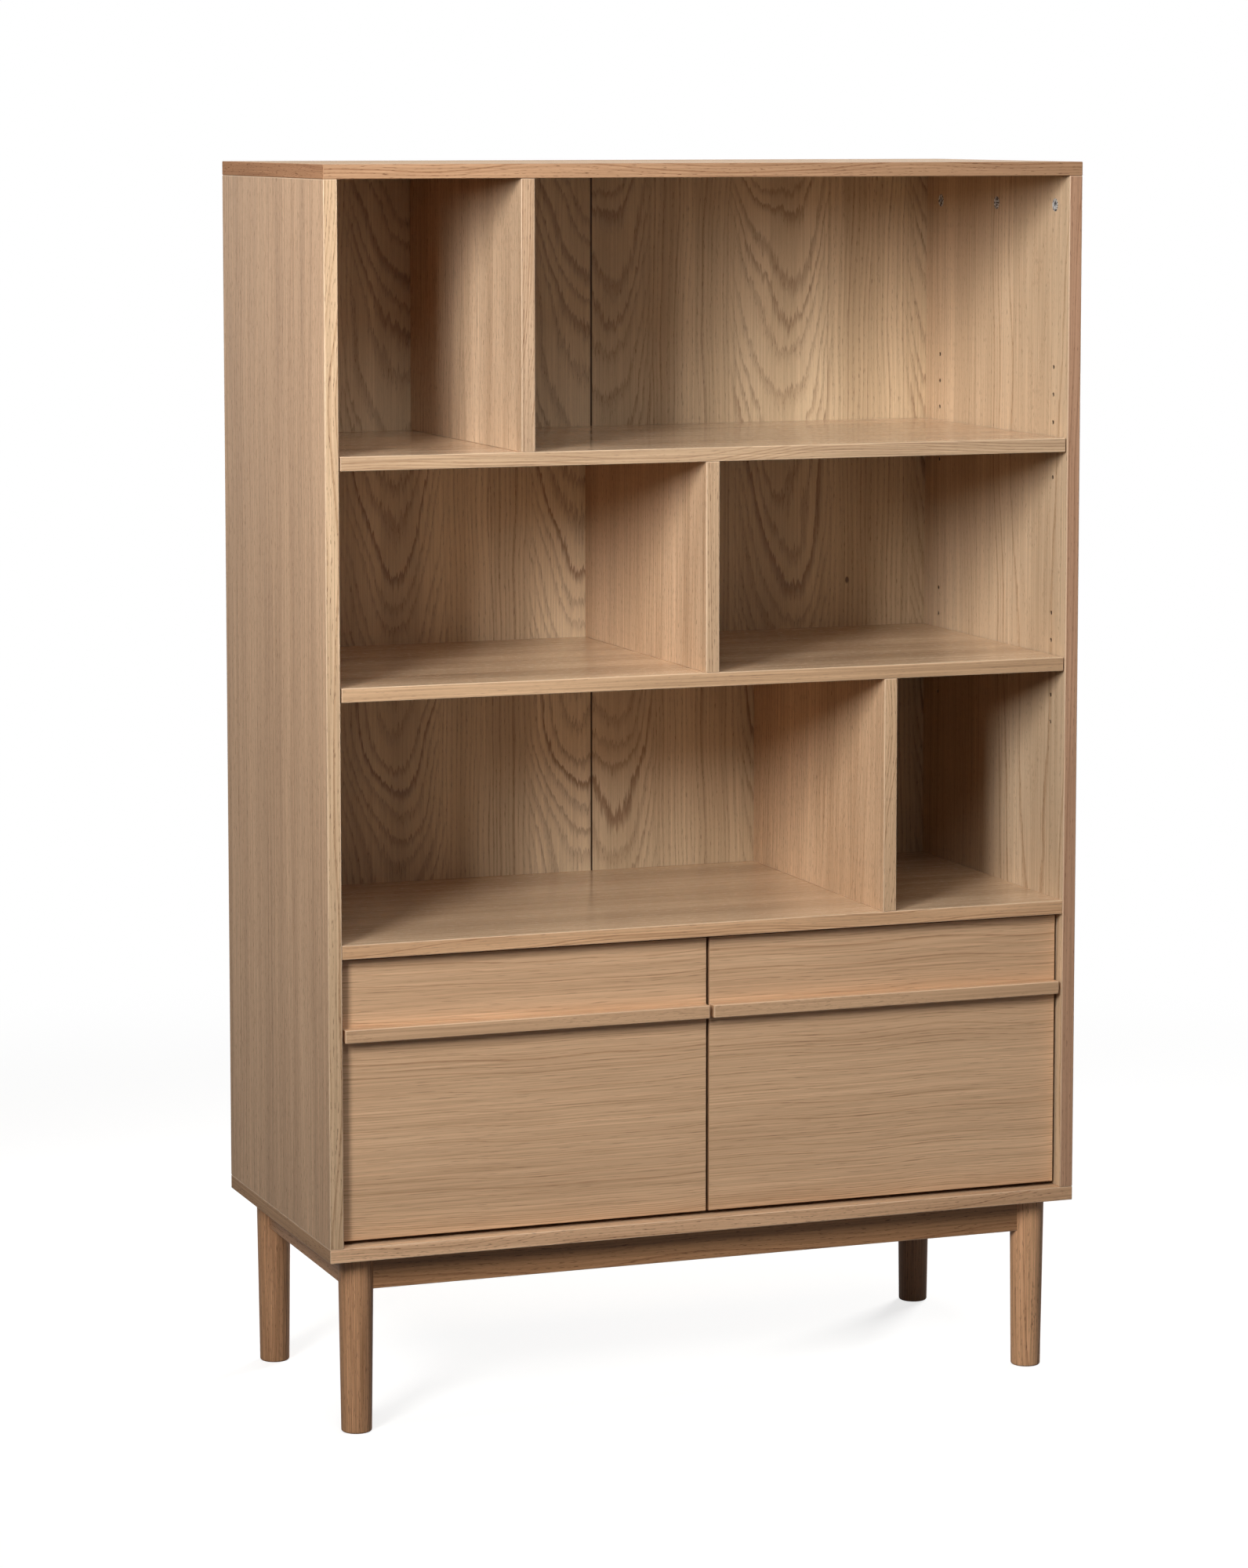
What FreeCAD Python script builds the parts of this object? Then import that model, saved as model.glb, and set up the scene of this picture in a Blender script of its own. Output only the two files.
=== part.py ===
import FreeCAD, Part
import math
import os

from FreeCAD import Vector

# Bookcase on four round legs: three open tiers with one divider each over two drawers.
# X runs to the right, the front faces -Y, Z is up, and the origin is on the floor under the middle.

# Case
case_width = 908.0
case_depth = 404.0
side_panel_thickness = 16.0
top_board_thickness = 16.0
bottom_board_thickness = 16.0
arris_radius = 1.0
back_panel_thickness = 3.0
back_rebate_width = 8.0
back_panel_clearance = 0.5
back_seam_gap = 1.0

# Clear heights from the floor up
leg_height = 202.0
drawer_opening_height = 324.0
lower_bay_height = 269.0
middle_bay_height = 238.0
upper_bay_height = 301.0

# Shelves and dividers
fixed_shelf_thickness = 16.0
loose_shelf_thickness = 16.0
shelf_setback = 1.0
loose_shelf_end_gap = 1.75
loose_shelf_rear_gap = 0.5
divider_thickness = 16.0
upper_divider_share = 1 / 4
middle_divider_share = 1 / 2
lower_divider_share = 3 / 4
partition_thickness = 16.0
partition_front_gap = 2.0

# Pins under the loose shelves and their rows of holes
pin_radius = 2.5
pin_in_panel = 9.0
pin_under_shelf = 8.0
pin_hole_depth = 10.0
pin_pitch = 32.0
pin_column_inset = 39.0
pin_back_inset = 45.0
pin_notch_clearance = 0.4
upper_rows_below = 1
upper_rows_above = 3
middle_rows_below = 2
middle_rows_above = 2

# Cam fittings at the corners of the case
cams_per_joint = 3
cam_radius = 7.5
cam_depth = 12.5
cam_edge_distance = 34.0
cam_slot_width = 1.6
cam_slot_length = 9.0
cam_slot_depth = 2.5
cam_channel_radius = 3.6
bolt_bore_radius = 4.0
bolt_thread_radius = 2.9
bolt_thread_length = 11.0
bolt_shank_radius = 3.0
bolt_shank_length = 24.0
bolt_neck_radius = 2.0
bolt_neck_length = 4.5
bolt_head_radius = 3.1
bolt_head_length = 3.0
fit_clearance = 0.1

# Wooden dowels in the dividers and the drawer partition
dowel_radius = 4.0
dowel_in_board = 10.0
dowel_in_divider = 20.0
dowel_inset = 60.0
dowel_end_clearance = 0.5

# Screws that hold the back
back_screw_radius = 1.5
back_screw_length = 16.0
back_screw_head_radius = 3.0
back_screw_head_height = 1.6
back_screw_corner_inset = 40.0
back_screws_across = 4
back_screws_up = 7

# Base frame
leg_top_radius = 20.0
leg_foot_radius = 17.3
leg_foot_rounding = 2.5
leg_side_inset = 41.0
leg_front_inset = 38.0
rail_thickness = 20.0
rail_height = 39.0
rail_seat = 14.0
rail_arris_radius = 1.0
block_height = 30.0
block_width = 21.0
block_leg_clearance = 4.0
leg_bolt_radius = 4.0
leg_bolt_in_leg = 17.0
leg_bolt_head_flats = 13.0
leg_bolt_head_height = 5.3
leg_washer_radius = 8.5
leg_washer_thickness = 1.6
base_screw_radius = 2.0
base_screw_in_board = 11.0
base_screw_head_radius = 3.5
base_screw_head_height = 2.2
base_screw_spacing = 26.0

# Drawer fronts and their grip strips
front_thickness = 16.0
front_recess = 15.0
front_side_gap = 2.6
front_middle_gap = 2.9
front_top_gap = 3.0
front_bottom_gap = 4.5
strip_height = 15.0
strip_depth = 14.5
strip_drop = 76.0
strip_end_setback = 1.0
strip_arris_radius = 1.2
strip_tongue_height = 7.0
strip_tongue_depth = 5.0

# Drawer boxes
box_board = 12.0
box_rear_gap = 20.0
box_height = 250.0
box_floor_gap = 14.0
box_bottom_thickness = 4.0
box_bottom_lift = 9.0
box_groove_depth = 6.0
front_screw_radius = 2.0
front_screw_in_front = 11.0
front_screw_head_radius = 4.0
front_screw_head_height = 2.4
front_screw_inset = 45.0

# Telescopic slides, one at each side of a drawer box
slide_thickness = 12.7
slide_height = 45.0
slide_front_gap = 2.0
slide_lift = 78.0
slide_metal = 1.2
slide_running_gap = 0.3
outer_lip_reach = 8.5
middle_web_place = 3.2
middle_flange_reach = 10.8
inner_flange_reach = 7.0
slide_screws = 3
slide_screw_radius = 1.7
slide_screw_length = 8.0
slide_screw_head_radius = 3.4
slide_screw_head_height = 1.6
slide_screw_inset = 35.0

# Cutting tools run past the surfaces that they cut by this much
overrun = 1.0

# Places that follow from the sizes above
half_width = case_width / 2
inner_half_width = half_width - side_panel_thickness
front_y = -case_depth / 2
back_y = case_depth / 2
back_face_y = back_y - back_panel_thickness
bottom_top_z = leg_height + bottom_board_thickness
fixed_shelf_z = bottom_top_z + drawer_opening_height
fixed_shelf_top_z = fixed_shelf_z + fixed_shelf_thickness
middle_shelf_z = fixed_shelf_top_z + lower_bay_height
middle_shelf_top_z = middle_shelf_z + loose_shelf_thickness
upper_shelf_z = middle_shelf_top_z + middle_bay_height
upper_shelf_top_z = upper_shelf_z + loose_shelf_thickness
side_top_z = upper_shelf_top_z + upper_bay_height
case_top_z = side_top_z + top_board_thickness
pin_column_spacing = case_depth - pin_column_inset - pin_back_inset
pin_front_y = front_y + pin_column_inset
pin_back_y = pin_front_y + pin_column_spacing
cam_spacing = pin_column_spacing / (cams_per_joint - 1)
cam_places = [pin_front_y + cam_spacing * place for place in range(cams_per_joint)]
front_face_y = front_y + front_recess
front_rear_y = front_face_y + front_thickness
front_low_z = bottom_top_z + front_bottom_gap
front_high_z = fixed_shelf_z - front_top_gap
box_low_z = bottom_top_z + box_floor_gap
box_length = back_face_y - front_rear_y - box_rear_gap
box_rear_y = front_rear_y + box_length
slide_length = box_length
slide_z = box_low_z + slide_lift
slide_start_y = front_rear_y + slide_front_gap
leg_x = half_width - leg_side_inset
leg_y = case_depth / 2 - leg_front_inset
across = Vector(1, 0, 0)
up = Vector(0, 0, 1)

parts = {}


def block(xs, ys, zs):
    """A plain block between the lower and the higher place on each axis."""
    low = Vector(min(xs), min(ys), min(zs))
    high = Vector(max(xs), max(ys), max(zs))
    return Part.makeBox(high.x - low.x, high.y - low.y, high.z - low.z, low)


def eased_block(xs, ys, zs, radius=arris_radius):
    """A board with every arris eased."""
    plain = block(xs, ys, zs)
    return plain.makeFillet(radius, plain.Edges)


def rod(radius, length, start, direction):
    return Part.makeCylinder(radius, length, start, direction)


def stepped_rod(steps, start, direction):
    """Cylinders of the given (radius, length) in a row, as one solid."""
    solid = None
    place = start
    for radius, length in steps:
        piece = rod(radius, length, place, direction)
        solid = piece if solid is None else solid.fuse(piece)
        place = place + direction * length
    return solid.removeSplitter()


def countersunk_screw(radius, length, head_radius, head_height, head_face, direction):
    """A screw whose flat head lies in the plane of head_face and whose shank runs along direction."""
    head = Part.makeCone(head_radius, radius, head_height, head_face, direction)
    shank = rod(radius, length, head_face, direction)
    return head.fuse(shank).removeSplitter()


def cam_housing(face_center, into_board, toward_edge):
    """A zinc cam flush with the face it is let into, with a cross recess and a channel for its bolt."""
    housing = rod(cam_radius, cam_depth, face_center, into_board)
    sideways = into_board.cross(toward_edge)
    for along, width in ((toward_edge, sideways), (sideways, toward_edge)):
        corner_low = face_center - along * (cam_slot_length / 2) - width * (cam_slot_width / 2)
        corner_low = corner_low - into_board * overrun
        corner_high = face_center + along * (cam_slot_length / 2) + width * (cam_slot_width / 2)
        corner_high = corner_high + into_board * cam_slot_depth
        xs = (corner_low.x, corner_high.x)
        ys = (corner_low.y, corner_high.y)
        zs = (corner_low.z, corner_high.z)
        housing = housing.cut(block(xs, ys, zs))
    return housing


def cam_joint(edge_center, board_direction, face_direction, thickness, panel, other):
    """Cuts one cam joint into panel and other, and gives back the panel, the other, the cam and its bolt.

    edge_center is where the bolt crosses from other into panel, board_direction points into panel
    along its length, and face_direction points from the panel's middle to the face with the cam.
    """
    cam_axis = edge_center + board_direction * cam_edge_distance
    cam_face = cam_axis + face_direction * (thickness / 2)
    into_board = face_direction * -1
    pocket = rod(cam_radius + fit_clearance, cam_depth + fit_clearance, cam_face, into_board)
    bore = rod(bolt_bore_radius, cam_edge_distance, edge_center, board_direction)
    panel = panel.cut([pocket, bore])
    thread_hole_radius = bolt_thread_radius + fit_clearance
    thread_hole_depth = bolt_thread_length + fit_clearance
    thread_hole = rod(thread_hole_radius, thread_hole_depth, edge_center, board_direction * -1)
    other = other.cut(thread_hole)
    steps = [
        (bolt_thread_radius, bolt_thread_length),
        (bolt_shank_radius, bolt_shank_length),
        (bolt_neck_radius, bolt_neck_length),
        (bolt_head_radius, bolt_head_length),
    ]
    bolt = stepped_rod(steps, edge_center - board_direction * bolt_thread_length, board_direction)
    channel = rod(cam_channel_radius, cam_edge_distance, edge_center, board_direction)
    cam = cam_housing(cam_face, into_board, board_direction * -1).cut(channel)
    return panel, other, cam, bolt


def dowel_joint(edge_center, into_upright, upright, flat):
    """Cuts one dowel joint into an upright board and the flat board that it meets."""
    start = edge_center - into_upright * dowel_in_board
    dowel = rod(dowel_radius, dowel_in_board + dowel_in_divider, start, into_upright)
    hole_start = start - into_upright * dowel_end_clearance
    hole_length = dowel_in_board + dowel_in_divider + dowel_end_clearance * 2
    hole = rod(dowel_radius + fit_clearance, hole_length, hole_start, into_upright)
    return upright.cut(hole), flat.cut(hole), dowel


def dowelled(upright, lower, upper, x, zs, ys):
    """Dowels an upright board to the boards below and above it, and gives back all three and the dowels."""
    dowels = []
    for y in (ys[0] + dowel_inset, ys[1] - dowel_inset):
        upright, lower, dowel = dowel_joint(Vector(x, y, zs[0]), up, upright, lower)
        dowels.append(dowel)
        upright, upper, dowel = dowel_joint(Vector(x, y, zs[1]), up * -1, upright, upper)
        dowels.append(dowel)
    return upright, lower, upper, dowels


# The boards of the case, before their joints are cut
depth_span = (front_y, back_y)
top_board = eased_block((-half_width, half_width), depth_span, (side_top_z, case_top_z))
bottom_board = eased_block((-half_width, half_width), depth_span, (leg_height, bottom_top_z))
side_panels = {}
for side, name in ((-1, "left"), (1, "right")):
    panel_xs = (side * inner_half_width, side * half_width)
    side_panels[side] = eased_block(panel_xs, depth_span, (bottom_top_z, side_top_z))

# A rebate round the rear of the case takes the back
rebate_half_width = inner_half_width + back_rebate_width
rebate_ys = (back_face_y, back_y + overrun)
rebate_xs = (-rebate_half_width, rebate_half_width)
top_board = top_board.cut(block(rebate_xs, rebate_ys, (side_top_z - overrun, side_top_z + back_rebate_width)))
bottom_rebate_zs = (bottom_top_z - back_rebate_width, bottom_top_z + overrun)
bottom_board = bottom_board.cut(block(rebate_xs, rebate_ys, bottom_rebate_zs))
panel_rebate_zs = (bottom_top_z - overrun, side_top_z + overrun)
for side in (-1, 1):
    side_panels[side] = side_panels[side].cut(block(rebate_xs, rebate_ys, panel_rebate_zs))

# Shelves
fixed_xs = (-inner_half_width, inner_half_width)
fixed_ys = (front_y + shelf_setback, back_face_y)
fixed_shelf = eased_block(fixed_xs, fixed_ys, (fixed_shelf_z, fixed_shelf_top_z))
loose_half_width = inner_half_width - loose_shelf_end_gap
loose_xs = (-loose_half_width, loose_half_width)
loose_ys = (front_y + shelf_setback, back_face_y - loose_shelf_rear_gap)
middle_shelf = eased_block(loose_xs, loose_ys, (middle_shelf_z, middle_shelf_top_z))
upper_shelf = eased_block(loose_xs, loose_ys, (upper_shelf_z, upper_shelf_top_z))

# Dividers stand at shares of the clear width
inner_width = inner_half_width * 2


def divider(share, lower, upper, zs):
    """A divider at a share of the clear width, dowelled to the boards below and above it."""
    x = -inner_half_width + inner_width * share
    xs = (x - divider_thickness / 2, x + divider_thickness / 2)
    return dowelled(eased_block(xs, loose_ys, zs), lower, upper, x, zs, loose_ys)


upper_divider, upper_shelf, top_board, upper_dowels = divider(
    upper_divider_share, upper_shelf, top_board, (upper_shelf_top_z, side_top_z)
)
middle_divider, middle_shelf, upper_shelf, middle_dowels = divider(
    middle_divider_share, middle_shelf, upper_shelf, (middle_shelf_top_z, upper_shelf_z)
)
lower_divider, fixed_shelf, middle_shelf, lower_dowels = divider(
    lower_divider_share, fixed_shelf, middle_shelf, (fixed_shelf_top_z, middle_shelf_z)
)
divider_dowels = upper_dowels + middle_dowels + lower_dowels
partition_xs = (-partition_thickness / 2, partition_thickness / 2)
partition_ys = (front_rear_y + partition_front_gap, back_face_y)
partition_zs = (bottom_top_z, fixed_shelf_z)
partition, bottom_board, fixed_shelf, partition_dowels = dowelled(
    eased_block(partition_xs, partition_ys, partition_zs),
    bottom_board,
    fixed_shelf,
    0,
    partition_zs,
    partition_ys,
)

# Cam fittings: the side panels to the top board, the bottom board and the fixed shelf
cams = []
cam_bolts = []
fixed_shelf_middle_z = (fixed_shelf_z + fixed_shelf_top_z) / 2
for side in (-1, 1):
    panel = side_panels[side]
    panel_middle_x = side * (inner_half_width + half_width) / 2
    inward = across * -side
    for y in cam_places:
        place = Vector(panel_middle_x, y, side_top_z)
        panel, top_board, cam, bolt = cam_joint(
            place, up * -1, inward, side_panel_thickness, panel, top_board
        )
        cams.append(cam)
        cam_bolts.append(bolt)
        place = Vector(panel_middle_x, y, bottom_top_z)
        panel, bottom_board, cam, bolt = cam_joint(
            place, up, inward, side_panel_thickness, panel, bottom_board
        )
        cams.append(cam)
        cam_bolts.append(bolt)
        place = Vector(side * inner_half_width, y, fixed_shelf_middle_z)
        fixed_shelf, panel, cam, bolt = cam_joint(
            place, inward, up * -1, fixed_shelf_thickness, fixed_shelf, panel
        )
        cams.append(cam)
        cam_bolts.append(bolt)
    side_panels[side] = panel

# Rows of pin holes, and a half-round pin sunk under each corner of a loose shelf
pin_sets = {
    "upper": (upper_shelf_z, upper_rows_below, upper_rows_above),
    "middle": (middle_shelf_z, middle_rows_below, middle_rows_above),
}
for side in (-1, 1):
    holes = []
    for shelf_z, rows_below, rows_above in pin_sets.values():
        for row in range(-rows_below, rows_above + 1):
            for y in (pin_front_y, pin_back_y):
                mouth = Vector(side * inner_half_width, y, shelf_z + pin_pitch * row)
                holes.append(rod(pin_radius + fit_clearance, pin_hole_depth, mouth, across * side))
    side_panels[side] = side_panels[side].cut(holes)
pins = {"upper": [], "middle": []}
notches = {"upper": [], "middle": []}
notch_half_width = pin_radius + pin_notch_clearance
for name, (shelf_z, rows_below, rows_above) in pin_sets.items():
    for side in (-1, 1):
        pin_inner_x = side * (loose_half_width - pin_under_shelf)
        pin_outer_x = side * (inner_half_width + pin_in_panel)
        notch_inner_x = pin_inner_x - side * pin_notch_clearance
        for y in (pin_front_y, pin_back_y):
            start = Vector(pin_inner_x, y, shelf_z)
            pins[name].append(rod(pin_radius, abs(pin_outer_x - pin_inner_x), start, across * side))
            notch_xs = (notch_inner_x, side * (loose_half_width + overrun))
            notch_ys = (y - notch_half_width, y + notch_half_width)
            notches[name].append(block(notch_xs, notch_ys, (shelf_z - overrun, shelf_z + pin_radius)))
upper_shelf = upper_shelf.cut(notches["upper"])
middle_shelf = middle_shelf.cut(notches["middle"])

# The back in two halves, held by countersunk screws
back_low_z = bottom_top_z - back_rebate_width + back_panel_clearance
back_high_z = side_top_z + back_rebate_width - back_panel_clearance
back_outer_x = rebate_half_width - back_panel_clearance
back_screws = []
for side, name in ((-1, "left"), (1, "right")):
    half = block((side * back_seam_gap / 2, side * back_outer_x), (back_face_y, back_y), (back_low_z, back_high_z))
    edge_x = side * (inner_half_width + back_rebate_width / 2)
    span_x = inner_half_width - back_screw_corner_inset * 2
    screw_places = []
    screw_rows = (
        bottom_top_z - back_rebate_width / 2,
        fixed_shelf_middle_z,
        side_top_z + back_rebate_width / 2,
    )
    for z in screw_rows:
        for place in range(back_screws_across):
            x = back_screw_corner_inset + span_x * place / (back_screws_across - 1)
            screw_places.append((side * x, z))
    span_z = side_top_z - bottom_top_z - back_screw_corner_inset * 2
    for place in range(back_screws_up):
        z = bottom_top_z + back_screw_corner_inset + span_z * place / (back_screws_up - 1)
        screw_places.append((edge_x, z))
    for x, z in screw_places:
        screw = countersunk_screw(
            back_screw_radius,
            back_screw_length,
            back_screw_head_radius,
            back_screw_head_height,
            Vector(x, back_y, z),
            Vector(0, -1, 0),
        )
        back_screws.append(screw)
    parts["back_panel_" + name] = half.cut(back_screws)
bottom_board = bottom_board.cut(back_screws)
top_board = top_board.cut(back_screws)
fixed_shelf = fixed_shelf.cut(back_screws)
for side, name in ((-1, "left"), (1, "right")):
    parts[name + "_side_panel"] = side_panels[side].cut(back_screws)

# Base frame: rails are let into round tapered legs, as far as rail_seat from a leg's axis,
# and a block stiffens each corner
rail_low_z = leg_height - rail_height
rail_zs = (rail_low_z, leg_height)
half_rail = rail_thickness / 2
rails = {
    "front_rail": ((rail_seat - leg_x, leg_x - rail_seat), (-leg_y - half_rail, half_rail - leg_y)),
    "back_rail": ((rail_seat - leg_x, leg_x - rail_seat), (leg_y - half_rail, leg_y + half_rail)),
    "left_rail": ((-leg_x - half_rail, half_rail - leg_x), (rail_seat - leg_y, leg_y - rail_seat)),
    "right_rail": ((leg_x - half_rail, leg_x + half_rail), (rail_seat - leg_y, leg_y - rail_seat)),
}
rail_housings = []
for name, (xs, ys) in rails.items():
    parts[name] = eased_block(xs, ys, rail_zs, rail_arris_radius)
    rail_housings.append(block(xs, ys, (rail_low_z, leg_height + overrun)))

block_near = leg_top_radius + block_leg_clearance
block_far = block_near + block_width
block_low_z = leg_height - block_height
bolt_z = leg_height - block_height / 2
leg_bolts = []
leg_bolt_holes = []
base_screws = []


def corner_point(leg_axis, inward, along, sideways, z):
    """A point along the diagonal into the frame from a leg's axis, and across that diagonal."""
    diagonal = Vector(inward.x, inward.y, 0).normalize()
    normal = Vector(-diagonal.y, diagonal.x, 0)
    return Vector(leg_axis.x, leg_axis.y, z) + diagonal * along + normal * sideways


def corner_block(leg_axis, inward):
    """A block across the corner between two rails, clear of the leg."""
    root_two = math.sqrt(2)
    corners = []
    for reach in (block_near, block_far):
        across_corner = reach * root_two - half_rail
        corners.append((half_rail, across_corner))
        corners.append((across_corner, half_rail))
    ring = [corners[0], corners[1], corners[3], corners[2], corners[0]]
    points = []
    for x, y in ring:
        points.append(Vector(leg_axis.x + inward.x * x, leg_axis.y + inward.y * y, block_low_z))
    return Part.Face(Part.makePolygon(points)).extrude(up * block_height)


def hexagon(center, direction, flats, height):
    """A hexagonal prism for a bolt's head."""
    side_length = flats / math.sqrt(3)
    turn = FreeCAD.Rotation(up, direction)
    points = []
    for corner in range(7):
        angle = math.radians(60 * corner)
        flat_point = Vector(side_length * math.cos(angle), side_length * math.sin(angle), 0)
        points.append(center + turn.multVec(flat_point))
    return Part.Face(Part.makePolygon(points)).extrude(direction * height)


for depth_side, depth_name in ((-1, "front"), (1, "back")):
    for side, side_name in ((-1, "left"), (1, "right")):
        axis = Vector(side * leg_x, depth_side * leg_y, 0)
        inward = Vector(-side, -depth_side, 0)
        leg = Part.makeCone(leg_foot_radius, leg_top_radius, leg_height, axis)
        foot_edges = [edge for edge in leg.Edges if edge.BoundBox.ZMax < leg_foot_rounding]
        leg = leg.makeFillet(leg_foot_rounding, foot_edges).cut(rail_housings)
        wood = corner_block(axis, inward)
        diagonal = Vector(inward.x, inward.y, 0).normalize()
        bolt_end = corner_point(axis, inward, leg_top_radius - leg_bolt_in_leg, 0, bolt_z)
        washer_face = corner_point(axis, inward, block_far, 0, bolt_z)
        head_face = washer_face + diagonal * leg_washer_thickness
        shank_length = (head_face - bolt_end).Length
        bolt_hole = rod(leg_bolt_radius + fit_clearance, shank_length, bolt_end, diagonal)
        leg = leg.cut(bolt_hole)
        wood = wood.cut(bolt_hole)
        leg_bolt_holes.append(bolt_hole)
        shank = rod(leg_bolt_radius, shank_length, bolt_end, diagonal)
        head = hexagon(head_face, diagonal, leg_bolt_head_flats, leg_bolt_head_height)
        leg_bolts.append(shank.fuse(head).removeSplitter())
        washer = rod(leg_washer_radius, leg_washer_thickness, washer_face, diagonal)
        leg_bolts.append(washer.cut(bolt_hole))
        for offset in (-base_screw_spacing / 2, base_screw_spacing / 2):
            screw = countersunk_screw(
                base_screw_radius,
                block_height + base_screw_in_board,
                base_screw_head_radius,
                base_screw_head_height,
                corner_point(axis, inward, (block_near + block_far) / 2, offset, block_low_z),
                up,
            )
            wood = wood.cut(screw)
            bottom_board = bottom_board.cut(screw)
            base_screws.append(screw)
        corner_name = depth_name + "_" + side_name
        parts["leg_" + corner_name] = leg
        parts["corner_block_" + corner_name] = wood
for name in rails:
    parts[name] = parts[name].cut(leg_bolt_holes)

# Drawers
slide_inner_z = slide_height / 2 - slide_metal


def channel_section(wall_x, toward, near, far, half_height, open_side):
    """A channel along Y: a web at one end of near..far, and a flange above and below.

    near and far are distances from the cabinet wall toward the drawer box, and open_side says
    whether the channel opens toward the box (1) or toward the wall (-1).
    """
    ys = (slide_start_y, slide_start_y + slide_length)
    xs = (wall_x + toward * near, wall_x + toward * far)
    zs = (slide_z - half_height, slide_z + half_height)
    bar = block(xs, ys, zs)
    if open_side > 0:
        hollow_xs = (wall_x + toward * (near + slide_metal), wall_x + toward * (far + overrun))
    else:
        hollow_xs = (wall_x + toward * (near - overrun), wall_x + toward * (far - slide_metal))
    hollow_ys = (slide_start_y - overrun, slide_start_y + slide_length + overrun)
    hollow_zs = (zs[0] + slide_metal, zs[1] - slide_metal)
    return bar.cut(block(hollow_xs, hollow_ys, hollow_zs))


def slide_screw_places(face_x):
    """Where the screws of one slide member pass the face that their heads lie on."""
    span = slide_length - slide_screw_inset * 2
    places = []
    for place in range(slide_screws):
        y = slide_start_y + slide_screw_inset + span * place / (slide_screws - 1)
        places.append(Vector(face_x, y, slide_z))
    return places


def round_head_screw(radius, length, head_radius, head_height, face, direction):
    """A screw whose head stands on face and whose shank runs along direction."""
    head = rod(head_radius, head_height, face - direction * head_height, direction)
    return head.fuse(rod(radius, length, face, direction)).removeSplitter()


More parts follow.
